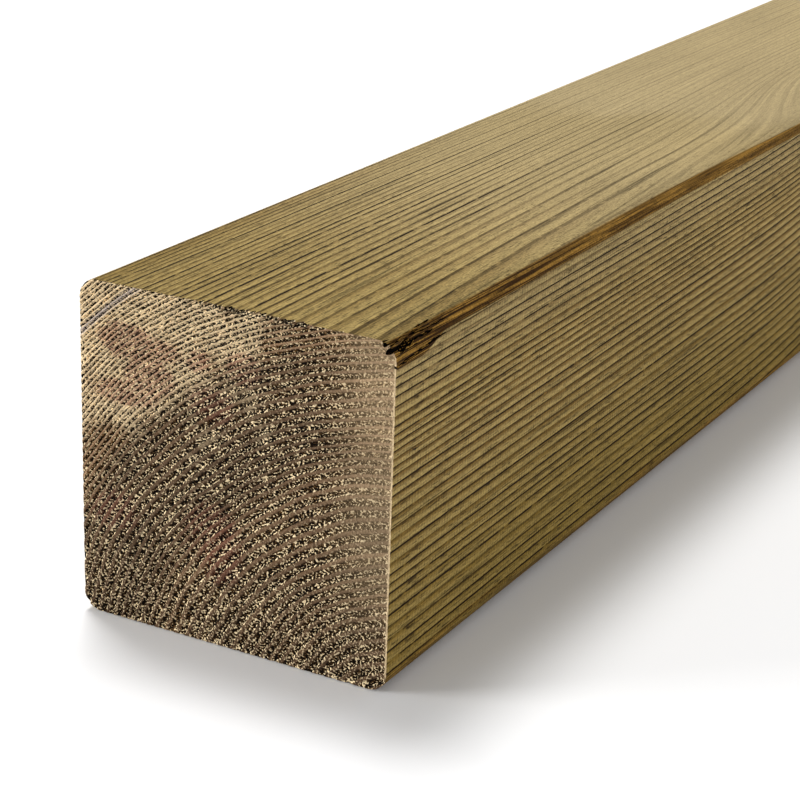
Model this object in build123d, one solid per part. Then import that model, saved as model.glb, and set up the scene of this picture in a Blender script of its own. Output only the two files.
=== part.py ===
from build123d import *
import math
import os

# A square softwood post, planed on its four long faces and sawn off at both ends.
# It lies on one long face with its length along Y. The origin is under its middle.
# The sawn end at -Y has its growth rings in relief and a torn arris beside it.
# All sizes are in millimetres.

# Section and length
SIDE = 90
LENGTH = 1200
ARRIS_RADIUS = 5
NEAR_END = -LENGTH / 2

# The heart of the tree lies outside the section, past its lower right arris
PITH_X = SIDE / 2 + 11.6
PITH_Z = -25.3

# Growth rings for each millimetre of radius: wide ones near the heart, thin ones near the bark
RINGS_PER_MM = 0.33
THIN_RINGS_PER_MM = 0.56
THIN_RINGS_FROM = 116
THIN_RINGS_BLEND = 6
# Two spells of slow growth: their radius, half width and extra rings for each millimetre
SLOW_SPELLS = ((54, 4, 0.12), (90, 7, 0.18))
RADIUS_ACCURACY = 0.001

# Sawing tears the soft early wood of each ring a little deeper than its hard late wood
RELIEF_DEPTH = 0.3
GROOVE_DROP = 0.18
GROOVE_SHARE = 0.66

# Splits along the torn arris, which follow the grain away from the sawn end:
# angle round the arris, distance from the end, length, width, depth, and drift of the far tip
ARRIS_SPLITS = (
    (70, 0, 8, 1.0, 1.3, -0.8),
    (60, 5, 16, 0.6, 0.9, -0.8),
    (37, 0, 9, 1.7, 2.4, 0.4),
    (39, 8, 11, 0.6, 1.0, -0.1),
    (-14, 0, 26, 1.3, 1.4, 2.4),
)
SPLIT_OVERRUN = 1


def ring_number(radius):
    """How many growth rings lie between the heart and this distance from it."""
    thin = THIN_RINGS_PER_MM * THIN_RINGS_BLEND
    thin *= math.log(1 + math.exp((radius - THIN_RINGS_FROM) / THIN_RINGS_BLEND))
    slow = sum(extra * half * math.tanh((radius - middle) / half) for middle, half, extra in SLOW_SPELLS)
    return RINGS_PER_MM * radius + thin + slow


def ring_radius(number, low, high):
    """The distance from the heart at which this ring begins, found by halving the range."""
    while high - low > RADIUS_ACCURACY:
        middle = (low + high) / 2
        if ring_number(middle) < number:
            low = middle
        else:
            high = middle
    return (low + high) / 2


def ring_radii():
    """Where each ring that meets the section begins, from the heart outwards."""
    nearest = math.hypot(PITH_X - SIDE / 2, PITH_Z)
    farthest = math.hypot(PITH_X + SIDE / 2, SIDE - PITH_Z)
    numbers = range(math.floor(ring_number(nearest)), math.ceil(ring_number(farthest)) + 1)
    return [ring_radius(number, 0, farthest * 2) for number in numbers]


def planed_blank():
    """The plain post: a square with rounded arrises, drawn on the sawn end and run along Y."""
    section = Plane(origin=(0, NEAR_END, SIDE / 2), x_dir=(1, 0, 0), z_dir=(0, -1, 0))
    return extrude(section * RectangleRounded(SIDE, SIDE, ARRIS_RADIUS), amount=-LENGTH)


def ring_grooves():
    """The torn early wood, one shallow groove for each ring, turned about the heart.

    Each groove drops steeply at the ring boundary and climbs slowly to the next late wood.
    """
    half_plane = Plane(origin=(PITH_X, NEAR_END, PITH_Z), x_dir=(1, 0, 0), z_dir=(0, 0, 1))
    grooves = []
    radii = ring_radii()
    for inner, outer in zip(radii, radii[1:]):
        width = outer - inner
        profile = Polygon(
            (inner, 0),
            (inner + GROOVE_SHARE * width, 0),
            (inner + GROOVE_DROP * width, RELIEF_DEPTH),
            align=None,
        )
        heart = Axis((PITH_X, NEAR_END, PITH_Z), (0, 1, 0))
        grooves.append(revolve(half_plane * profile, heart, 360))
    return grooves


def on_arris(angle, distance):
    """A plane on the rounded upper right arris: X runs along the post, Z points out of the wood."""
    turn = math.radians(angle)
    outward = (math.cos(turn), 0, math.sin(turn))
    middle = (SIDE / 2 - ARRIS_RADIUS, NEAR_END + distance, SIDE - ARRIS_RADIUS)
    origin = tuple(at + ARRIS_RADIUS * step for at, step in zip(middle, outward))
    return Plane(origin=origin, x_dir=(0, 1, 0), z_dir=outward)


def arris_split(angle, distance, length, width, depth, drift):
    """A split that follows the grain: widest near its start and run out to a point."""
    start = 0 if distance else -SPLIT_OVERRUN
    outline = Polygon(
        (start, -width / 2),
        (length * 0.3, -width / 2 + drift * 0.3),
        (length, drift),
        (length * 0.45, width / 2 + drift * 0.4),
        (start, width * 0.3),
        align=None,
    )
    above = on_arris(angle, distance) * Pos(0, 0, SPLIT_OVERRUN)
    return extrude(above * outline, amount=-(depth + SPLIT_OVERRUN))


def wooden_post():
    """The whole post: the blank, less its ring grooves and what the torn arris has lost."""
    splits = [arris_split(*split) for split in ARRIS_SPLITS]
    return planed_blank() - (ring_grooves() + splits)


os.makedirs("parts", exist_ok=True)
export_step(wooden_post(), "parts/post.step")
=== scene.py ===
"""Dresses a planed and sawn softwood post: ring relief, grain, stains, a torn arris and a pale studio.

The post lies along Y with the sawn end that the camera sees at -Y. Meshes are in metres. The growth
rings are worked out in millimetres by one formula, which places the ridges of the mesh and paints
the grain of the material, so that the rings on the end run on as the lines on the long faces.
"""

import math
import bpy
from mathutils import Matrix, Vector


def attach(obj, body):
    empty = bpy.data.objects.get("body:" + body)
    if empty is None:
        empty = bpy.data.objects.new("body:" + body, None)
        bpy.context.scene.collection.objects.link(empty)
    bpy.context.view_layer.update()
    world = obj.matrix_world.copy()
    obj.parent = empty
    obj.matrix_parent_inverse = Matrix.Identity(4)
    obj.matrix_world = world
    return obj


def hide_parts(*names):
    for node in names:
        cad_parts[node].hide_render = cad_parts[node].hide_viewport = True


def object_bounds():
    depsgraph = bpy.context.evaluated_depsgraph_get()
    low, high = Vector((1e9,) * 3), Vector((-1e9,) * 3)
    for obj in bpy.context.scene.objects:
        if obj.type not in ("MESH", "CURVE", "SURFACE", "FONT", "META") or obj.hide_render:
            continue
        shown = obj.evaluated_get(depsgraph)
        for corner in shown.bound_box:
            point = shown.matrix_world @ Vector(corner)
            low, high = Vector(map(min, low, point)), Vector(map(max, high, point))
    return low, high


bl_info = {
    "name": "Softwood Post",
    "version": (1, 0, 0),
    "blender": (4, 5, 0),
    "location": "3D View > Sidebar > Post",
    "description": "Builds a square softwood post with sawn end grain, and the stage it lies on",
    "category": "Add Mesh",
}

import bpy
import numpy as np
from bpy.props import FloatProperty, FloatVectorProperty, IntProperty, PointerProperty
from mathutils import Matrix, Vector

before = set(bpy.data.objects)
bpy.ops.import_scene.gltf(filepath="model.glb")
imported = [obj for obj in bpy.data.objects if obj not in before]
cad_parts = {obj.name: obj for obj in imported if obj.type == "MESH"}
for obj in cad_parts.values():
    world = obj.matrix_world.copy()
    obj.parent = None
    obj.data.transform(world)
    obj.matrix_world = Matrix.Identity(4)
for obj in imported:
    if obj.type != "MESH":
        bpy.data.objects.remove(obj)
CAD_LOW, CAD_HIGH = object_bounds()

# The post's own sizes, from the frame, and the unit that the rings are worked out in
MM = 0.001
NEAR_END = CAD_LOW.y
FAR_END = CAD_HIGH.y
SIDE_MM = (CAD_HIGH.x - CAD_LOW.x) / MM
HALF_MM = SIDE_MM / 2
ARRIS_MM = 5.0

# The heart of the tree beside the section at the near end, and how far it wanders along the post
HEART_X = HALF_MM + 11.6
HEART_Z = -25.3
HEART_WANDER_X = 17.0
HEART_WANDER_Z = 12.0
WANDER_LENGTH = 800.0

# Growth rings for each millimetre of radius, closer towards the bark, with two spells of slow growth
RINGS_PER_MM = 0.33
THIN_RINGS_PER_MM = 0.56
THIN_RINGS_FROM = 116.0
THIN_RINGS_BLEND = 6.0
SLOW_SPELLS = ((54.0, 4.0, 0.12), (90.0, 7.0, 0.18))

# Gentle waves of the rings round the heart: height in mm, waves by angle, waves by radius, start
RING_WAVES = ((0.7, 4.3, 0.05, 0.6), (0.28, 11.0, -0.09, 2.0), (0.12, 31.0, 0.21, 4.4))

# The share of a ring that saws out low: it drops at the ring's start and climbs to the late wood
GROOVE_DROP = 0.16
GROOVE_SHARE = 0.66

# Branches: angle from upright at the heart, distance along the post, and radius of the branch, in mm
KNOTS = ((0.285, 372.0, 8.0), (0.66, 792.0, 9.0), (-0.02, 1034.0, 6.0))

# How far the rings bulge round a branch, how far that reaches aside and along, all in radii of the
# branch, and how closely the branch's own rings lie
KNOT_BULGE = 1.15
KNOT_SPREAD_AROUND = 1.7
KNOT_SPREAD_ALONG = 6.5
KNOT_RINGS = 15.0

# Soft noise in the wood, in mm: the width of its patches across the grain, and their length along it
FIBRE = (0.35, 4.0)
SAND = (0.6, 0.7)
STRAND = (0.36, 50.0)
STREAK = (0.9, 35.0)
BREAKS = (1.2, 6.0)
CLOUD = (30.0, 90.0)
DRIFT = (24.0, 150.0)
FUZZ = (0.54, 0.54)
TUFT = (1.6, 1.6)
END_CLOUD = (13.0, 13.0)
SPLINTER_FIBRE = (0.35, 7.0)

# How far the planed faces' rings drift from the formula, in mm of radius
RING_DRIFT = 0.9

# Where the rings turn thin, in mm from the heart
BARK_SIDE = (108.0, 124.0)

# Along the planed faces, in mm from the near end: darker damp wood, the fade to paler wood, the
# paler stretch of the top, and the narrowing of the torn band
DAMP = (130.0, 10.0)
FADE = (30.0, 235.0)
PALER_STRETCH = (226.0, 262.0)
BAND_NARROWS = (150.0, 300.0)

# Rows of nicks from the saw: where each starts, is full, begins to fade and ends, and its strength
SCUFF_ROWS = ((8.5, 10.0, 13.0, 15.0, 1.0), (25.5, 26.5, 27.5, 29.0, 0.6))

# The torn upper right arris: the middle of its rounding, across and up
ARRIS_X = HALF_MM - ARRIS_MM
ARRIS_Z = SIDE_MM - ARRIS_MM

# The stretch of the end's top edge, across, that the saw tore out, and how deep and how far down
TORN_EDGE = (-13.0, 22.0)
TORN_EDGE_BITE = 1.8
TORN_EDGE_DOWN = 1.3

# Stains and a pale corner on the end, in mm: middle across and up, and half sizes
END_CORNER = (-38.0, 88.0, 44.0, 34.0)
END_STAINS = (
    (-28.0, 76.0, 12.0, 4.0),
    (-24.0, 67.0, 7.0, 4.5),
    (-32.0, 62.0, 10.0, 3.0),
    (-9.0, 75.0, 3.5, 3.0),
    (3.0, 75.0, 5.0, 4.0),
    (-6.0, 64.0, 7.0, 5.0),
    (-5.0, 28.0, 8.0, 9.0),
    (-36.0, 30.0, 9.0, 5.0),
)

# The radius of one blue-grey ring
BLUE_RING = 142.5

# Splits in the torn arris, in degrees and mm: angle round it, start, length, width, depth, sideways drift
SPLITS = (
    (70, -3.0, 11.0, 1.4, 1.3, -0.9),
    (60, 4.5, 16.5, 0.9, 0.9, -0.8),
    (37, -4.0, 14.0, 2.5, 2.4, 0.4),
    (39, 9.5, 10.0, 0.7, 1.0, -0.1),
    (-12, -3.0, 29.0, 0.85, 1.1, 2.4),
    (53, -1.0, 7.0, 0.5, 0.8, -0.2),
    (66, 13.0, 8.0, 0.5, 0.7, 0.2),
    (50, 15.0, 12.0, 0.5, 0.7, -0.1),
    (22, 2.0, 9.0, 0.35, 0.6, 0.3),
)

# Splinters that stand up beside them, with their height instead of a depth
SPLINTERS = (
    (69, 0.1, 6.0, 0.5, 0.25, -0.4),
    (63, 0.1, 5.5, 0.55, 0.35, -0.3),
    (47, 0.1, 6.5, 0.6, 0.4, 0.3),
    (56, 5.5, 6.0, 0.45, 0.35, 0.2),
    (67, 7.5, 7.5, 0.4, 0.25, -0.5),
    (54, 12.0, 8.0, 0.4, 0.35, -0.3),
    (45, 8.0, 7.0, 0.4, 0.3, 0.2),
    (61, 20.5, 8.0, 0.35, 0.25, 0.3),
)

# The post's materials, by their place in its list
PLANED = 0
SAWN = 1
TORN = 2

# Depth in metres of the fine relief that each material shades, and how strongly bare wood shines
PLANED_BUMP = 0.0002
SAWN_BUMP = 0.0006
TORN_BUMP = 0.0004
WOOD_SHINE = 0.06


def display(red, green, blue):
    """A colour as it is seen on a screen, from 0 to 255, as the linear values that a shader takes."""

    def linear(value):
        share = value / 255
        return share / 12.92 if share <= 0.04045 else ((share + 0.055) / 1.055) ** 2.4

    return (linear(red), linear(green), linear(blue))


# Growth rings

def heart_place(along, maths):
    """Where the heart is, across and up, at this distance along the post."""
    wander = maths.sin(along / WANDER_LENGTH)
    return HEART_X + HEART_WANDER_X * wander, HEART_Z + HEART_WANDER_Z * wander


def around_heart(x, along, z, maths):
    """Distance from the heart, and angle about it, from upright towards the left."""
    heart_x, heart_z = heart_place(along, maths)
    left = heart_x - x
    rise = z - heart_z
    return maths.sqrt(left * left + rise * rise), maths.arctan2(left, rise)


def ring_wave(radius, angle, maths):
    """How far the rings bulge from true circles here."""
    waves = [
        height * maths.sin(angle * by_angle + radius * by_radius + start)
        for height, by_angle, by_radius, start in RING_WAVES
    ]
    return waves[0] + waves[1] + waves[2]


def ring_number(radius, maths):
    """How many growth rings lie between the heart and this distance from it."""
    number = radius * RINGS_PER_MM
    thin = maths.log(maths.exp((radius - THIN_RINGS_FROM) / THIN_RINGS_BLEND) + 1)
    number = number + thin * (THIN_RINGS_PER_MM * THIN_RINGS_BLEND)
    for middle, half, extra in SLOW_SPELLS:
        number = number + maths.tanh((radius - middle) / half) * (extra * half)
    return number


# Materials

class Signal:
    """A value that varies over the surface. Arithmetic on it adds Math nodes to its recipe."""

    def __init__(self, recipe, socket):
        self.recipe = recipe
        self.socket = socket

    def __add__(self, other):
        return self.recipe.maths("ADD", self, other)

    def __radd__(self, other):
        return self.recipe.maths("ADD", other, self)

    def __sub__(self, other):
        return self.recipe.maths("SUBTRACT", self, other)

    def __rsub__(self, other):
        return self.recipe.maths("SUBTRACT", other, self)

    def __mul__(self, other):
        return self.recipe.maths("MULTIPLY", self, other)

    def __rmul__(self, other):
        return self.recipe.maths("MULTIPLY", other, self)

    def __truediv__(self, other):
        return self.recipe.maths("DIVIDE", self, other)

    def __pow__(self, other):
        return self.recipe.maths("POWER", self, other)

    def __abs__(self):
        return self.recipe.maths("ABSOLUTE", self)


class SignalMaths:
    """The functions of the ring formula for signals, under the names that numpy gives them."""

    @staticmethod
    def sqrt(value):
        return value.recipe.maths("SQRT", value)

    @staticmethod
    def sin(value):
        return value.recipe.maths("SINE", value)

    @staticmethod
    def exp(value):
        return value.recipe.maths("EXPONENT", value)

    @staticmethod
    def log(value):
        return value.recipe.maths("LOGARITHM", value, math.e)

    @staticmethod
    def tanh(value):
        return value.recipe.maths("TANH", value)

    @staticmethod
    def arctan2(value, other):
        return value.recipe.maths("ARCTAN2", value, other)


class Recipe:
    """The node tree of a material or a sky, filled by expressions."""

    def __init__(self, owner):
        self.owner = owner
        owner.use_nodes = True
        self.tree = owner.node_tree
        self.tree.nodes.clear()

    def node(self, kind, settings=None, inputs=None, output=0):
        """Adds a node of this type, with its settings first, then the values or links of its sockets."""
        made = self.tree.nodes.new(kind)
        for key, value in (settings or {}).items():
            setattr(made, key, value)
        for key, value in (inputs or {}).items():
            if isinstance(value, Signal):
                self.tree.links.new(value.socket, made.inputs[key])
            else:
                made.inputs[key].default_value = value
        return Signal(self, made.outputs[output]) if made.outputs else None

    def maths(self, operation, *values):
        """One Math node on signals or numbers."""
        return self.node("ShaderNodeMath", {"operation": operation}, dict(enumerate(values)))

    def limit(self, value):
        """The value kept between 0 and 1."""
        return self.node("ShaderNodeMath", {"operation": "ADD", "use_clamp": True}, {0: value, 1: 0.0})

    def rise(self, value, low, high):
        """0 below low, 1 above high, and a smooth step between them. High may be the lower one."""
        inputs = {"Value": value, "From Min": low, "From Max": high}
        return self.node("ShaderNodeMapRange", {"interpolation_type": "SMOOTHSTEP"}, inputs)

    def mix(self, share, first, second):
        """The first colour where share is 0, and the second where it is 1."""
        colours = {0: share}
        for key, colour in ((6, first), (7, second)):
            colours[key] = colour if isinstance(colour, Signal) else (*colour, 1.0)
        return self.node("ShaderNodeMix", {"data_type": "RGBA"}, colours, output=2)

    def shade(self, colour, strength):
        """The colour made darker or lighter by a varying strength."""
        grey = self.node("ShaderNodeCombineColor", None, {0: strength, 1: strength, 2: strength})
        settings = {"data_type": "RGBA", "blend_type": "MULTIPLY"}
        return self.node("ShaderNodeMix", settings, {0: 1.0, 6: colour, 7: grey}, output=2)

    def noise(self, x, y, z, detail=2.0):
        """Soft noise, from 0 to 1, in a space where one unit is one patch."""
        vector = self.node("ShaderNodeCombineXYZ", None, {0: x, 1: y, 2: z})
        return self.node("ShaderNodeTexNoise", None, {"Vector": vector, "Scale": 1.0, "Detail": detail})

    def patches(self, place, size, detail=2.0):
        """Soft noise in patches of this width across the grain and this length along it."""
        across, along, up = place
        width, length = size
        return self.noise(across / width, along / length, up / width, detail)

    def place(self):
        """Across, along and up in millimetres. Along is counted from the near end."""
        coordinates = self.node("ShaderNodeTexCoord", None, None, output=3)
        across, along, up = (
            self.node("ShaderNodeSeparateXYZ", None, {0: coordinates}, output=axis) for axis in range(3)
        )
        return across * (1 / MM), (along - NEAR_END) * (1 / MM), up * (1 / MM)

    def finish(self, colour, roughness, height, depth, shine):
        """The surface itself, with its fine relief as bump."""
        bump = self.node("ShaderNodeBump", None, {"Strength": 1.0, "Distance": depth, "Height": height})
        inputs = {
            "Base Color": colour,
            "Roughness": roughness,
            "Specular IOR Level": shine,
            "Normal": bump,
        }
        surface = self.node("ShaderNodeBsdfPrincipled", None, inputs)
        self.node("ShaderNodeOutputMaterial", None, {"Surface": surface})
        return self.owner


class Grain:
    """The rings at each place in the wood, as signals that both wood materials paint from."""

    def __init__(self, recipe, drift):
        self.recipe = recipe
        self.place = recipe.place()
        self.across, self.along, self.up = self.place
        radius, self.angle = around_heart(self.across, self.along, self.up, SignalMaths)
        self.radius = radius + ring_wave(radius, self.angle, SignalMaths)
        reach = self.radius
        if drift:
            self.knot, bulge = self.knots()
            reach = self.radius - bulge + (recipe.patches(self.place, DRIFT) - 0.5) * drift
        self.number = ring_number(reach, SignalMaths)
        self.share = recipe.maths("FRACT", self.number)
        self.ring = recipe.maths("FLOOR", self.number)
        self.luck = recipe.node("ShaderNodeTexWhiteNoise", {"noise_dimensions": "1D"}, {"W": self.ring})

    def knots(self):
        """How much of each place is branch wood, and how far the rings bulge out round it."""
        branch = 0.0
        bulge = 0.0
        for angle, along, size in KNOTS:
            aside = (self.angle - angle) * self.radius
            beyond = self.along - along
            near_around = (aside / (size * KNOT_SPREAD_AROUND)) ** 2.0
            near_along = (beyond / (size * KNOT_SPREAD_ALONG)) ** 2.0
            bulge = bulge + SignalMaths.exp((near_around + near_along) * -0.5) * (size * KNOT_BULGE)
            spread = SignalMaths.sqrt(aside * aside + beyond * beyond * 0.6) / size
            outer = self.recipe.rise(spread, 0.6, 1.0)
            rings = SignalMaths.sin(spread * KNOT_RINGS) * 0.2 + outer * 0.2 + 0.6
            branch = branch + self.recipe.rise(spread, 1.15, 0.85) * rings
        return branch, bulge


def oval(grain, shape, edge):
    """1 inside a soft-edged, ragged oval on the sawn end, and 0 outside it."""
    x, z, x_size, z_size = shape
    gap = ((grain.across - x) / x_size) ** 2.0 + ((grain.up - z) / z_size) ** 2.0 + edge
    return grain.recipe.rise(gap, 1.5, 0.5)


def grain_lines(grain, on_top, far, breaks, pale_patch):
    """How dark the line at each ring's edge is: broken by patches, and fainter where the top is pale."""
    rise = grain.recipe.rise
    shallow = rise(grain.across, -5.0, 30.0) * on_top
    wide = rise(grain.radius, *BARK_SIDE) * on_top * (0.09 - far * 0.05) + far * on_top * 0.06
    line = rise(grain.share, shallow * 0.05 - wide + 0.74, shallow * 0.03 - wide + 0.84)
    line = line * rise(grain.share, 0.99, 0.93)
    strength = (grain.luck * 1.2 + 0.35) * rise(breaks, 0.32 - far * 0.12, 0.46 - far * 0.06)
    strength = strength * (1 - pale_patch * 0.45) * (1 - shallow * (0.5 - far * 0.2))
    return line * (strength * (1 - far * on_top * 0.55))


def torn_and_low_shade_band(grain, streak):
    """1 on the torn upper right arris, and low on the right side where it paints shade, and 0 elsewhere."""
    rise = grain.recipe.rise
    across, along, up = grain.place
    turn = SignalMaths.arctan2(up - ARRIS_Z, across - ARRIS_X)
    lowest = rise(along, 12.0, 25.0) * 0.62 - rise(along, *BAND_NARROWS) * 0.2 - 0.3
    highest = 1.12 - rise(along, *BAND_NARROWS) * 0.42
    reach = SignalMaths.sqrt((across - ARRIS_X) ** 2.0 + (up - ARRIS_Z) ** 2.0)
    torn = rise(turn, lowest - 0.04, lowest + 0.04) * rise(turn, highest + 0.08, highest - 0.04)
    torn = torn * rise(reach, ARRIS_MM + 2.0, ARRIS_MM + 1.0) * rise(across, ARRIS_X, ARRIS_X + 0.5)
    # Painted shade: the lower right arris in darker amber
    low = rise(up + (streak - 0.5) * 8, 7.0, 2.0) * rise(across, ARRIS_X, ARRIS_X + 1.5)
    return grain.recipe.limit(torn + low * 0.75)


def scuffs(grain):
    """The rows of nicks that the saw left on the right side, in the soft wood of each ring."""
    rise = grain.recipe.rise
    rows = 0.0
    for start, full, fading, end, strength in SCUFF_ROWS:
        rows = rows + rise(grain.along, start, full) * rise(grain.along, end, fading) * strength
    rows = rows * rise(grain.across, HALF_MM - 1, HALF_MM - 0.5)
    return rows * rise(grain.up, 80.0, 76.0) * rise(grain.share, 0.35, 0.5)


def planed_softwood(settings):
    """The long faces: tan early wood, brown late wood lines, amber arrises, fine fibre and specks."""
    recipe = Recipe(bpy.data.materials.new("planed_softwood"))
    rise = recipe.rise
    grain = Grain(recipe, RING_DRIFT)
    across, along, up = grain.place
    fibre = recipe.patches(grain.place, FIBRE)
    sand = recipe.patches(grain.place, SAND, detail=1.0)
    streak = recipe.patches(grain.place, STREAK)
    cloud = recipe.patches(grain.place, CLOUD)
    breaks = recipe.patches(grain.place, BREAKS, detail=3.0)
    strand = recipe.patches(grain.place, STRAND, detail=1.0)
    rows = recipe.noise(grain.number * 4.5, along / 70, 0.0)

    # The wood's colour: paler with distance and high up, yellower when damp and low down, worn on the left,
    # with painted shade darkening the sides low down
    on_top = rise(up, SIDE_MM - 2.5, SIDE_MM - 1.0)
    far = rise(along, *FADE)
    near = rise(along, *DAMP) * on_top
    pale_patch = rise(along + (cloud - 0.5) * 60 - across * 0.35, *PALER_STRETCH) * on_top
    worn = rise(across, -31.0, -43.0) * on_top * (1 - far)
    # Painted shade: the sides grow darker towards the floor, in yellower low wood
    low_tone_and_shade = rise(up + (cloud - 0.5) * 30, 60.0, 0.0)
    late = rise(grain.share, 0.2, 0.8) * rise(grain.share, 1.0, 0.94)
    colour = recipe.mix(late * (0.9 - pale_patch * 0.5), settings.early_wood, settings.late_wood)
    colour = recipe.mix(far * on_top * 0.75 + rise(up, 68.0, 84.0) * 0.4, colour, settings.far_wood)
    colour = recipe.mix(worn * 0.5, colour, settings.late_wood)
    colour = recipe.mix(near * 0.4, colour, settings.low_wood_and_shade)
    colour = recipe.mix(low_tone_and_shade * 0.7, colour, settings.low_wood_and_shade)
    colour = recipe.mix(pale_patch * 0.5, colour, settings.paler_patch_wood)

    # Dark lines at the rings' edges, finer ones between them, and branches
    lines = grain_lines(grain, on_top, far, breaks, pale_patch)
    fine = rise(rows, 0.42, 0.34) * (1 - pale_patch) * (1 - far * on_top * 0.5) * 0.45
    colour = recipe.mix(recipe.limit(lines + fine), colour, settings.grain_line)
    colour = recipe.mix(grain.knot * 0.85, colour, settings.knot_wood)

    # Amber wood with dark strands on the torn upper right arris, and low on the right side as painted shade
    # on the lower arris
    amber = recipe.mix(rise(streak, 0.4, 0.6), settings.arris_wood, settings.arris_dark)
    amber = recipe.mix(rise(strand, 0.53, 0.47) * (0.95 - far * 0.5), amber, settings.arris_line)
    colour = recipe.mix(torn_and_low_shade_band(grain, streak), colour, amber)

    # Light and dark fibre, the planer's ripple on the sides, and specks
    grit = 1 - far * on_top * 0.65
    right = rise(across, 28.0, 38.0) * on_top * (0.1 - far * 0.04)
    ripple = SignalMaths.sin(along * 4.5 + cloud * 30) * (1 - on_top) * 0.09
    shade = (fibre + sand - 1) * grit * 1.3 + rows * 0.7 + cloud * 0.3 + ripple - right + 0.5
    colour = recipe.shade(colour, recipe.limit(shade * 0.7) * 1.43)
    chipped = rise(breaks, 0.48, 0.56)
    dents = rise(fibre, 0.43, 0.36) * chipped * 0.6 + scuffs(grain) * chipped * 0.65
    colour = recipe.mix(recipe.limit(dents) * grit, colour, settings.speck)
    return recipe.finish(colour, 0.68, fibre + sand * 0.6, PLANED_BUMP, WOOD_SHINE)


def sawn_end_grain(settings):
    """The sawn ends: pale late wood ridges, dark torn early wood, painted shade in pits, painted highlights
    on fibre tips.
    """
    recipe = Recipe(bpy.data.materials.new("sawn_end_grain"))
    rise = recipe.rise
    grain = Grain(recipe, 0.0)
    across, up = grain.across, grain.up
    fuzz = recipe.patches(grain.place, FUZZ, detail=1.0)
    tuft = recipe.patches(grain.place, TUFT)
    cloud = recipe.patches(grain.place, END_CLOUD, detail=3.0)
    dots = recipe.noise(grain.angle * grain.radius / 0.8, grain.ring * 7.3, 0.0, detail=1.0)

    # The wood's own colour: early and late wood, a pale corner and right edge, stains, one blue ring
    ridge = rise(grain.share, 0.5, 0.68) * rise(grain.share, 1.0, 0.93)
    ragged = (cloud - 0.5) * 5.0
    cream = oval(grain, END_CORNER, ragged)
    strip = rise(across, 22.0, 42.0) * rise(up, 0.0, 35.0)
    stains = 0.0
    for shape in END_STAINS:
        stains = stains + oval(grain, shape, ragged)
    blue = rise(abs(grain.radius - BLUE_RING), 1.3, 0.6) * rise(across, -24.0, -28.0)
    early = recipe.mix(cream * 0.8 + strip * 0.5, settings.end_early, settings.end_cream_and_highlight)
    late = recipe.mix(cream * 0.9 + strip * 0.3, settings.end_late, settings.end_cream_and_highlight)
    colour = recipe.mix(ridge * (0.5 + tuft), early, late)
    colour = recipe.mix(recipe.limit(stains) * (tuft * 0.6 + 0.25), colour, settings.end_stain)
    colour = recipe.mix(blue * 0.5, colour, settings.end_blue)

    # Painted shade: in the pits of the torn wood, in dark dashes where each ring drops, and in the tears of
    # the top edge
    thin = rise(grain.radius, *BARK_SIDE)
    calm = 1 - strip * 0.5
    smooth = ridge * (0.9 - rise(up, 24.0, 6.0) * 0.35 - rise(tuft, 0.5, 0.65) * 0.4)
    pits = rise(fuzz, 0.505, 0.45) * (1 - smooth)
    drop = rise(grain.share, 0.0, 0.05) * rise(grain.share, 0.34, 0.2) * rise(dots, 0.4, 0.5)
    dark = recipe.limit(pits + drop * (0.6 + thin * 0.4)) * calm
    edge = rise(up, SIDE_MM - TORN_EDGE_DOWN, SIDE_MM - 0.7) * rise(tuft, 0.47, 0.53)
    for limit, step in zip(TORN_EDGE, (-2, 2)):
        edge = edge * rise(across, limit + step, limit)
    colour = recipe.mix(recipe.limit(dark + edge), colour, settings.end_painted_shade)

    # Light and dark patches, a dark band of damp rings, painted light at the left edge and painted shade at
    # the lower right, darker towards the bottom, and painted highlights on the fibre tips and along the
    # right rim
    band = rise(grain.radius + ragged * 2, 82.0, 92.0) * rise(grain.radius + ragged * 2, 121.0, 110.0)
    band = band * rise(grain.angle, 0.1, 0.4)
    # Painted shade darkens the lower right, and painted light brightens the left edge
    low_right_shade = rise(across, -18.0, 2.0) * rise(up, 66.0, 45.0)
    sides = rise(across, -28.0, -42.0) * 0.3 - low_right_shade * 0.26 + 1.0
    # The end also grows darker towards the bottom
    shade = (cloud * 0.7 + 0.65) * (1 - band * 0.5) * (up * 0.0045 + 0.7) * (sides + cream * 0.12)
    colour = recipe.shade(colour, shade * (0.85 + grain.luck * 0.3))
    # Painted highlights on the tips of the torn fibres
    tips = rise(fuzz, 0.565, 0.61) * (1 - smooth) * calm
    colour = recipe.mix(tips * (0.85 + cream * 0.15), colour, settings.end_tip_highlight)
    # Painted highlight: a pale rim along the right edge
    rim = rise(across, HALF_MM - 0.7, HALF_MM - 0.3) * rise(up, 2.0, 6.0)
    colour = recipe.mix(rim * 0.8, colour, settings.end_cream_and_highlight)
    return recipe.finish(colour, 0.85 - ridge * 0.1, fuzz + ridge * 0.3, SAWN_BUMP, WOOD_SHINE)


def shaded_split_insides(settings):
    """The raw insides of the splits: painted shade in near-black brown, with long pale splinters."""
    recipe = Recipe(bpy.data.materials.new("shaded_split_insides"))
    splinter = recipe.patches(recipe.place(), SPLINTER_FIBRE, detail=1.0)
    colour = recipe.mix(recipe.rise(splinter, 0.58, 0.66), settings.split_shade_colour, settings.split_pale)
    return recipe.finish(colour, 0.85, splinter, TORN_BUMP, WOOD_SHINE)


# Shared modelling steps

def deselect_everything():
    """Ends edit mode and clears the selection, so that a step acts only on what it picks."""
    if bpy.context.object and bpy.context.object.mode != "OBJECT":
        bpy.ops.object.mode_set(mode="OBJECT")
    bpy.ops.object.select_all(action="DESELECT")


def pick(piece):
    """Makes one object the selected and active one."""
    deselect_everything()
    piece.select_set(True)
    bpy.context.view_layer.objects.active = piece


def points_of(piece):
    """The places of a mesh's vertices, one row each."""
    places = np.empty(len(piece.data.vertices) * 3)
    piece.data.vertices.foreach_get("co", places)
    return places.reshape(-1, 3)


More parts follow.
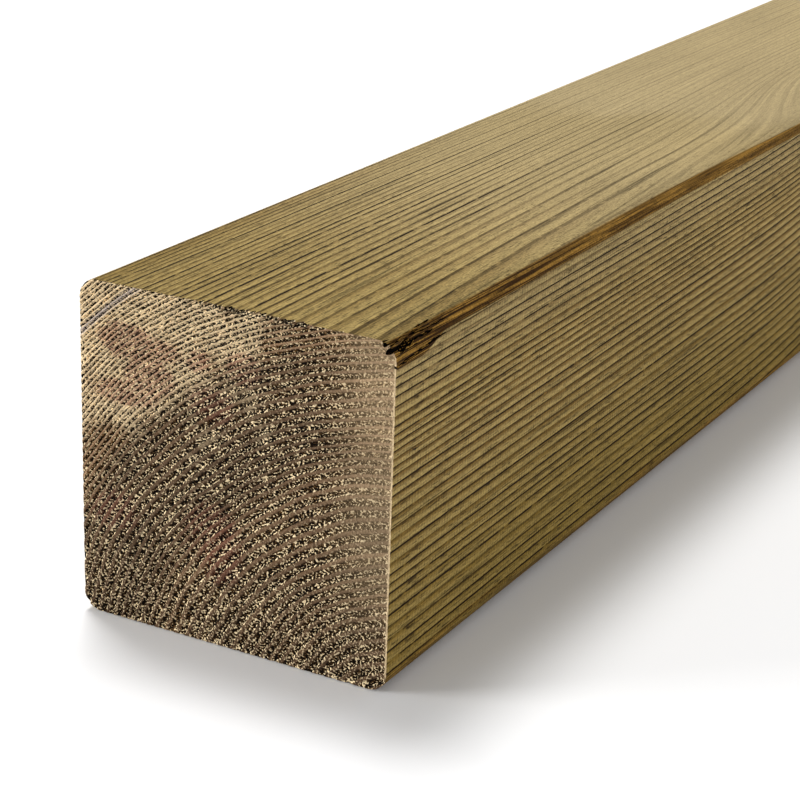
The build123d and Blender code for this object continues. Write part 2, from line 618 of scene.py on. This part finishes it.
def move_points(piece, places):
    """Puts a mesh's vertices in new places."""
    piece.data.vertices.foreach_set("co", places.ravel())
    piece.data.update()


# The post

# How far the near end's grid runs past the section, in mm and in angle, and the roughness of its saw cut
GRID_MARGIN = 1.5
GRID_MARGIN_ANGLE = math.radians(1.5)
SAW_ROUGHNESS = 0.06

# The random outline of a split: the length of its stretches in mm, their widths and sideways sway
STRETCH = 0.8
STRETCH_WIDTHS = (0.45, 1.5)
STRETCH_SWAY = (-0.2, 0.2)


def ring_steps(first, last):
    """The ring numbers of the grid's columns: close together where a ring's edge drops."""
    within = (0.0, GROOVE_DROP * 0.5, GROOVE_DROP, 0.3, 0.48, GROOVE_SHARE, 0.83)
    return np.array([number + share for number in range(first, last) for share in within])


def groove_depth(share):
    """The sawn relief within a ring: 1 in the deepest early wood, and near 0 over the rounded late wood."""
    drop = share / GROOVE_DROP
    climb = (GROOVE_SHARE - share) / (GROOVE_SHARE - GROOVE_DROP)
    shoulder = 0.15 * (1 - np.clip(np.sin((share - GROOVE_SHARE) / (1 - GROOVE_SHARE) * math.pi), 0, 1))
    return np.clip(np.minimum(drop, climb), shoulder, 1)


def ring_grid(settings):
    """A grid bent round the heart, with the ring step, radius and angle of each of its points."""
    corners = [(x, z) for x in (-HALF_MM, HALF_MM) for z in (0, SIDE_MM)]
    reaches = [math.hypot(HEART_X - x, z - HEART_Z) for x, z in corners]
    turns = [math.atan2(HEART_X - x, z - HEART_Z) for x, z in corners]
    first = math.floor(ring_number(min(reaches) - GRID_MARGIN, np))
    last = math.ceil(ring_number(max(reaches) + GRID_MARGIN, np))
    steps = ring_steps(first, last)
    bpy.ops.mesh.primitive_grid_add(
        x_subdivisions=len(steps) - 1, y_subdivisions=settings.angle_steps, size=1
    )
    piece = bpy.context.object
    piece.name = "softwood_post"
    flat = points_of(piece)
    column = np.rint((flat[:, 0] + 0.5) * (len(steps) - 1)).astype(int)
    step = steps[column]
    turn = max(turns) - min(turns) + 2 * GRID_MARGIN_ANGLE
    angle = min(turns) - GRID_MARGIN_ANGLE + (flat[:, 1] + 0.5) * turn

    # The radius at which each step lies, read off the formula, less the waves of the rings
    radii = np.linspace(min(reaches) * 0.9, max(reaches) * 1.05, 4000)
    wanted = np.interp(step, ring_number(radii, np), radii)
    radius = wanted.copy()
    for _ in range(4):
        radius = wanted - ring_wave(radius, angle, np)
    return piece, step, radius, angle


def sawn_end(settings):
    """The near end: one ring to every few columns of a grid, sawn out where its early wood is torn."""
    piece, step, radius, angle = ring_grid(settings)
    x = HEART_X - radius * np.sin(angle)
    z = HEART_Z + radius * np.cos(angle)

    # The relief runs out towards the section's edges, so that its outline stays whole
    right = np.clip((HALF_MM - x) / 1.5, 0.1, 1)
    left = np.clip((HALF_MM + x) / 1.2, 0.4, 1)
    foot = np.clip(z / 1.2, 0.4, 1)
    torn = groove_depth(step % 1.0)
    chance = np.random.default_rng(settings.seed)
    depth = torn * (right * left * foot) * settings.relief / MM * (0.7 + 0.6 * chance.random(len(x)))
    depth += chance.random(len(x)) * SAW_ROUGHNESS
    bites = chance.random(len(x)) ** 2 * TORN_EDGE_BITE
    bites *= (x > TORN_EDGE[0]) & (x < TORN_EDGE[1])
    depth += bites * np.clip((z - SIDE_MM + TORN_EDGE_DOWN) / 1.2, 0, 1)
    move_points(piece, np.column_stack([x * MM, NEAR_END + depth * MM, z * MM]))
    return piece


def section_cuts(facets):
    """The straight cuts of the post's outline: the outward normal of each and a point on it, in mm."""
    for quarter in range(4):
        turn = quarter * math.pi / 2
        for step in range(-facets, facets + 1):
            side = (step > 0) - (step < 0)
            angle = turn + (step - side / 2) / facets * math.pi / 4
            x, z = arris_middle(turn, side) if side else (0.0, HALF_MM)
            normal = Vector((math.cos(angle), 0, math.sin(angle)))
            yield normal, Vector((x, 0, z)) + normal * (ARRIS_MM if side else HALF_MM)


def arris_middle(turn, side):
    """The centre of the rounding next to the flat side that faces this way."""
    reach = HALF_MM - ARRIS_MM
    forward = (round(math.cos(turn)), round(math.sin(turn)))
    aside = (-forward[1] * side, forward[0] * side)
    return ((forward[0] + aside[0]) * reach, HALF_MM + (forward[1] + aside[1]) * reach)


def trim_to_section(piece, facets):
    """Cuts a sheet to the post's outline: the four flat sides and the facets of each arris."""
    pick(piece)
    bpy.ops.object.mode_set(mode="EDIT")
    for normal, point in section_cuts(facets):
        bpy.ops.mesh.select_all(action="SELECT")
        bpy.ops.mesh.bisect(plane_co=point * MM, plane_no=normal, clear_outer=True, threshold=1e-6)
    bpy.ops.mesh.select_all(action="SELECT")
    bpy.ops.mesh.remove_doubles(threshold=2e-5)
    bpy.ops.object.mode_set(mode="OBJECT")


def run_to_far_end(piece, cuts):
    """Draws the trimmed outline out along the post, closes the far end flat and adds crosswise edges."""
    pick(piece)
    bpy.ops.object.mode_set(mode="EDIT")
    bpy.ops.mesh.select_mode(type="EDGE")
    bpy.ops.mesh.select_all(action="DESELECT")
    bpy.ops.mesh.select_non_manifold(
        use_wire=False, use_multi_face=False, use_non_contiguous=False, use_verts=False
    )
    bpy.ops.mesh.extrude_edges_move(TRANSFORM_OT_translate={"value": (0, FAR_END - NEAR_END, 0)})
    bpy.ops.transform.resize(value=(1, 0, 1), center_override=(0, FAR_END, 0))
    bpy.ops.mesh.edge_face_add()
    for cut in range(1, cuts):
        y = NEAR_END + (FAR_END - NEAR_END) * cut / cuts
        bpy.ops.mesh.select_all(action="SELECT")
        bpy.ops.mesh.bisect(plane_co=(0, y, 0), plane_no=(0, 1, 0))
    bpy.ops.mesh.select_all(action="SELECT")
    bpy.ops.mesh.normals_make_consistent(inside=False)
    bpy.ops.object.mode_set(mode="OBJECT")


def paint(piece, settings):
    """Gives the long faces planed wood and both ends sawn wood. Cuts made later show torn fibre in painted
    shade.
    """
    for material in (planed_softwood(settings), sawn_end_grain(settings), shaded_split_insides(settings)):
        piece.data.materials.append(material)
    near_limit = NEAR_END + 3 * MM
    far_limit = FAR_END - 0.1 * MM
    for face in piece.data.polygons:
        face.material_index = PLANED if near_limit < face.center.y < far_limit else SAWN


def spindle(shape, look, post, chance):
    """A long ragged shape on the torn arris, laid along the grain and pointed at both ends."""
    angle, start, length, width, depth, drift = shape
    bpy.ops.mesh.primitive_ico_sphere_add(subdivisions=4, radius=1)
    piece = bpy.context.object
    unit = points_of(piece)
    share = (unit[:, 1] + 1) / 2
    stations = np.linspace(0, 1, max(4, round(length / STRETCH)))
    ragged = np.interp(share, stations, chance.uniform(*STRETCH_WIDTHS, len(stations)))
    sway = np.interp(share, stations, chance.uniform(*STRETCH_SWAY, len(stations))) * width
    aside = -unit[:, 0] * width / 2 * ragged + sway + drift * share
    reach = ARRIS_MM + unit[:, 2] * depth
    turn = math.radians(angle)
    x = ARRIS_X + reach * math.cos(turn) - aside * math.sin(turn)
    z = ARRIS_Z + reach * math.sin(turn) + aside * math.cos(turn)
    y = NEAR_END + (start + length * share) * MM
    move_points(piece, np.column_stack([x * MM, y, z * MM]))
    for material in post.data.materials:
        piece.data.materials.append(material)
    for face in piece.data.polygons:
        face.material_index = look
    return piece


def join(pieces):
    """Makes one object of several, under the first one's name."""
    deselect_everything()
    for piece in pieces:
        piece.select_set(True)
    bpy.context.view_layer.objects.active = pieces[0]
    bpy.ops.object.join()


def cut_out(piece, cutter):
    """Takes one closed shape out of the piece, and the shape itself out of the scene."""
    pick(piece)
    bpy.ops.object.modifier_add(type="BOOLEAN")
    modifier = piece.modifiers[-1]
    modifier.operation = "DIFFERENCE"
    modifier.solver = "EXACT"
    modifier.object = cutter
    bpy.ops.object.modifier_apply(modifier=modifier.name)
    pick(cutter)
    bpy.ops.object.delete()
    if not piece.data.polygons:
        raise RuntimeError("A cut left nothing of the piece")


def tear_arris(piece, settings):
    """Cuts the splits out of the upper right arris and lays the splinters beside them."""
    chance = np.random.default_rng(settings.seed + 1)
    for shape in SPLITS:
        cut_out(piece, spindle(shape, TORN, piece, chance))
    join([piece] + [spindle(shape, PLANED, piece, chance) for shape in SPLINTERS])


class PostSettings(bpy.types.PropertyGroup):
    """What a user may change on the post."""

    relief: FloatProperty(
        name="Ring relief", description="Depth of the sawn early wood", default=0.0006, unit="LENGTH"
    )
    angle_steps: IntProperty(name="Angle steps", description="Grid rows round the heart", default=190)
    crosswise: IntProperty(name="Crosswise edges", description="Stretches along the post", default=24)
    facets: IntProperty(name="Arris facets", description="Facets on half of each arris", default=5)
    seed: IntProperty(name="Seed", description="Start of the random sawn texture", default=7)
    early_wood: FloatVectorProperty(
        name="Early wood", description="Planed early wood", subtype="COLOR", default=display(170, 147, 92)
    )
    late_wood: FloatVectorProperty(
        name="Late wood", description="Planed late wood", subtype="COLOR", default=display(110, 80, 33)
    )
    grain_line: FloatVectorProperty(
        name="Grain lines",
        description="Dark edge of each ring",
        subtype="COLOR",
        default=display(28, 16, 4),
    )
    # A paler stretch of the top
    paler_patch_wood: FloatVectorProperty(
        name="Bleached wood",
        description="Patch that dried pale",
        subtype="COLOR",
        default=display(178, 160, 122),
    )
    far_wood: FloatVectorProperty(
        name="Far wood",
        description="Paler wood away from the sawn end",
        subtype="COLOR",
        default=display(172, 152, 108),
    )
    # Low on the sides this colour also paints shade that darkens them towards the floor
    low_wood_and_shade: FloatVectorProperty(
        name="Low wood",
        description="Yellower wood low on the sides",
        subtype="COLOR",
        default=display(130, 108, 46),
    )
    knot_wood: FloatVectorProperty(
        name="Knot", description="Branch wood", subtype="COLOR", default=display(104, 70, 38)
    )
    # Also painted low on the right side as shade on the lower arris
    arris_wood: FloatVectorProperty(
        name="Arris",
        description="Amber wood of the right arrises",
        subtype="COLOR",
        default=display(150, 112, 48),
    )
    arris_dark: FloatVectorProperty(
        name="Dark arris", description="Darker amber streaks", subtype="COLOR", default=display(108, 78, 30)
    )
    arris_line: FloatVectorProperty(
        name="Arris lines",
        description="Late wood on the arrises",
        subtype="COLOR",
        default=display(50, 28, 5),
    )
    speck: FloatVectorProperty(
        name="Specks", description="Small dark pits", subtype="COLOR", default=display(46, 32, 14)
    )
    end_early: FloatVectorProperty(
        name="End early wood", description="Torn early wood", subtype="COLOR", default=display(106, 76, 42)
    )
    end_late: FloatVectorProperty(
        name="End late wood", description="Late wood ridges", subtype="COLOR", default=display(134, 106, 80)
    )
    # Pale corner wood, also the painted highlight of the right rim
    end_cream_and_highlight: FloatVectorProperty(
        name="End cream",
        description="Palest corner of the end",
        subtype="COLOR",
        default=display(204, 180, 142),
    )
    end_stain: FloatVectorProperty(
        name="End stains", description="Red-brown stains", subtype="COLOR", default=display(134, 78, 64)
    )
    end_blue: FloatVectorProperty(
        name="End blue", description="One blue-grey ring", subtype="COLOR", default=display(132, 130, 146)
    )
    # Painted shade in the pits, at each ring's drop and in the torn top edge
    end_painted_shade: FloatVectorProperty(
        name="End pits", description="Pits in the torn wood", subtype="COLOR", default=display(16, 9, 3)
    )
    # Painted highlights on the tips of the torn fibres
    end_tip_highlight: FloatVectorProperty(
        name="Fibre tips",
        description="Bright ends of torn fibres",
        subtype="COLOR",
        default=display(255, 232, 188),
    )
    # Painted shade in the depth of a split
    split_shade_colour: FloatVectorProperty(
        name="Split", description="Depth of a split", subtype="COLOR", default=display(14, 8, 3)
    )
    split_pale: FloatVectorProperty(
        name="Splinters", description="Splinters in a split", subtype="COLOR", default=display(200, 150, 70)
    )


class StageSettings(bpy.types.PropertyGroup):
    """What a user may change on the stage."""

    floor_colour: FloatVectorProperty(
        name="Floor", description="Colour of the floor", subtype="COLOR", default=(0.8, 0.8, 0.81)
    )
    floor_glow: FloatProperty(
        name="Floor glow",
        description="White that the camera adds to the floor",
        default=0.03,
    )
    key_power: FloatProperty(
        name="Key light",
        description="Power of the key light",
        default=59.0,
        unit="POWER",
    )
    fill_power: FloatProperty(
        name="Fill light",
        description="Power of the front fill",
        default=150.0,
        unit="POWER",
    )
    side_power: FloatProperty(
        name="Side light",
        description="Power of the right fill",
        default=21.0,
        unit="POWER",
    )
    sky: FloatProperty(name="Sky", description="Strength of the even light from all round", default=0.34)


class POST_OT_timber(bpy.types.Operator):
    """Builds the post as one closed piece of wood"""

    bl_idname = "post.timber"
    bl_label = "Softwood Post"

    def execute(self, context):
        settings = context.scene.post_settings
        deselect_everything()
        piece = sawn_end(settings)
        trim_to_section(piece, settings.facets)
        run_to_far_end(piece, settings.crosswise)
        paint(piece, settings)
        tear_arris(piece, settings)
        pick(piece)
        bpy.ops.object.shade_smooth_by_angle(angle=math.radians(40))
        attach(piece, "root")
        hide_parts("post")
        return {"FINISHED"}


# The stage

# The lamps: place and target in metres, and side of the square
KEY_LAMP = ((-0.81, 0.14, 2.8), (0, -0.4, 0), 0.85)
FILL_LAMP = ((-2.5, -2.3, 0.3), (0, -0.6, 0.05), 1.1)
SIDE_LAMP = ((2.9, -0.9, 0.6), (0, -0.4, 0.05), 1.2)

# The floor in metres, and its colour to the camera. From the near end's foot, in mm, the lit floor
# begins to fade into plain white, and has faded
FLOOR_SIDE = 40
FLOOR_DROP = 0.0003
FLOOR_SEEN = (0.96, 0.96, 0.965)
FLOOR_FADE = (1500.0, 3500.0)
BLACK = (0.0, 0.0, 0.0)
WHITE = (1.0, 1.0, 1.0)

# The camera, worked out from the photograph's outline: millimetres from the near end's foot
CAMERA_PLACE = Vector((277.58, -425.93, 257.19))
CAMERA_YAW = -0.4975
CAMERA_PITCH = 0.3567
CAMERA_ROLL = 0.0341
FOCAL_PIXELS = 2241.9
FRAME_PIXELS = 800
SENSOR = 36.0


def add_camera():
    """The camera at the photograph's viewing angle."""
    forward = Vector(
        (
            math.sin(CAMERA_YAW) * math.cos(CAMERA_PITCH),
            math.cos(CAMERA_YAW) * math.cos(CAMERA_PITCH),
            -math.sin(CAMERA_PITCH),
        )
    )
    level = Vector((math.cos(CAMERA_YAW), -math.sin(CAMERA_YAW), 0))
    upright = level.cross(forward)
    right = level * math.cos(CAMERA_ROLL) + upright * math.sin(CAMERA_ROLL)
    up = upright * math.cos(CAMERA_ROLL) - level * math.sin(CAMERA_ROLL)
    place = CAMERA_PLACE * MM + Vector((0, NEAR_END, 0))
    bpy.ops.object.camera_add()
    camera = bpy.context.object
    camera.name = "camera"
    turned = Matrix((right, up, -forward)).transposed().to_4x4()
    camera.matrix_world = Matrix.Translation(place) @ turned
    camera.data.sensor_width = SENSOR
    camera.data.lens = FOCAL_PIXELS * SENSOR / FRAME_PIXELS
    camera.data.clip_start = 0.01
    camera.data.clip_end = 100
    bpy.context.scene.camera = camera


def add_lamp(name, lamp_facts, power):
    """A soft square lamp that faces its target."""
    place, target, size = lamp_facts
    bpy.ops.object.light_add(type="AREA", location=place)
    lamp = bpy.context.object
    lamp.name = name
    lamp.data.size = size
    lamp.data.energy = power
    lamp.rotation_euler = (Vector(target) - Vector(place)).to_track_quat("-Z", "Y").to_euler()
    return lamp


class POST_OT_stage(bpy.types.Operator):
    """Lays the pale floor and sets the lamps, the sky and the camera"""

    bl_idname = "post.stage"
    bl_label = "Stage"

    def execute(self, context):
        settings = context.scene.stage_settings
        deselect_everything()
        bpy.ops.mesh.primitive_plane_add(size=FLOOR_SIDE, location=(0, 0, -FLOOR_DROP))
        floor = context.object
        floor.name = "floor"
        floor.data.materials.append(floor_paint(settings))
        add_lamp("key", KEY_LAMP, settings.key_power)
        add_lamp("fill", FILL_LAMP, settings.fill_power)
        add_lamp("side_fill", SIDE_LAMP, settings.side_power)
        sky_light(context.scene, settings.sky)
        add_camera()
        context.scene.view_settings.view_transform = "Standard"
        return {"FINISHED"}


def floor_paint(settings):
    """A matt pale floor, which the camera sees as white wherever the post doesn't shade it."""
    recipe = Recipe(bpy.data.materials.new("pale_floor"))
    seen = recipe.node("ShaderNodeLightPath")
    across, along, _ = recipe.place()
    away = recipe.rise(SignalMaths.sqrt(across ** 2.0 + along ** 2.0), *FLOOR_FADE)
    glow = recipe.limit(away + settings.floor_glow)
    inputs = {
        "Base Color": recipe.mix(seen, settings.floor_colour, FLOOR_SEEN),
        "Roughness": 0.9,
        "Emission Color": recipe.mix(seen * glow, BLACK, WHITE),
        "Emission Strength": 1.0,
    }
    surface = recipe.node("ShaderNodeBsdfPrincipled", None, inputs)
    recipe.node("ShaderNodeOutputMaterial", None, {"Surface": surface})
    return recipe.owner


def sky_light(scene, strength):
    """An even white sky: full white to the camera, weaker as a light."""
    recipe = Recipe(bpy.data.worlds.new("sky"))
    seen = recipe.node("ShaderNodeLightPath")
    inputs = {"Color": (*WHITE, 1.0), "Strength": seen * (1 - strength) + strength}
    sky = recipe.node("ShaderNodeBackground", None, inputs)
    recipe.node("ShaderNodeOutputWorld", None, {"Surface": sky})
    scene.world = recipe.owner


class POST_PT_panel(bpy.types.Panel):
    """Lists the post's and the stage's operators"""

    bl_label = "Softwood Post"
    bl_idname = "POST_PT_panel"
    bl_space_type = "VIEW_3D"
    bl_region_type = "UI"
    bl_category = "Post"

    def draw(self, context):
        for each in (POST_OT_timber, POST_OT_stage):
            self.layout.operator(each.bl_idname)
        for group in (context.scene.post_settings, context.scene.stage_settings):
            for name in group.__annotations__:
                self.layout.prop(group, name)


CLASSES = (PostSettings, StageSettings, POST_OT_timber, POST_OT_stage, POST_PT_panel)


def register():
    for each in CLASSES:
        bpy.utils.register_class(each)
    bpy.types.Scene.post_settings = PointerProperty(type=PostSettings)
    bpy.types.Scene.stage_settings = PointerProperty(type=StageSettings)


def unregister():
    del bpy.types.Scene.stage_settings
    del bpy.types.Scene.post_settings
    for each in reversed(CLASSES):
        bpy.utils.unregister_class(each)


def main():
    register()
    bpy.ops.post.timber()
    bpy.ops.post.stage()


if __name__ == "__main__":
    main()
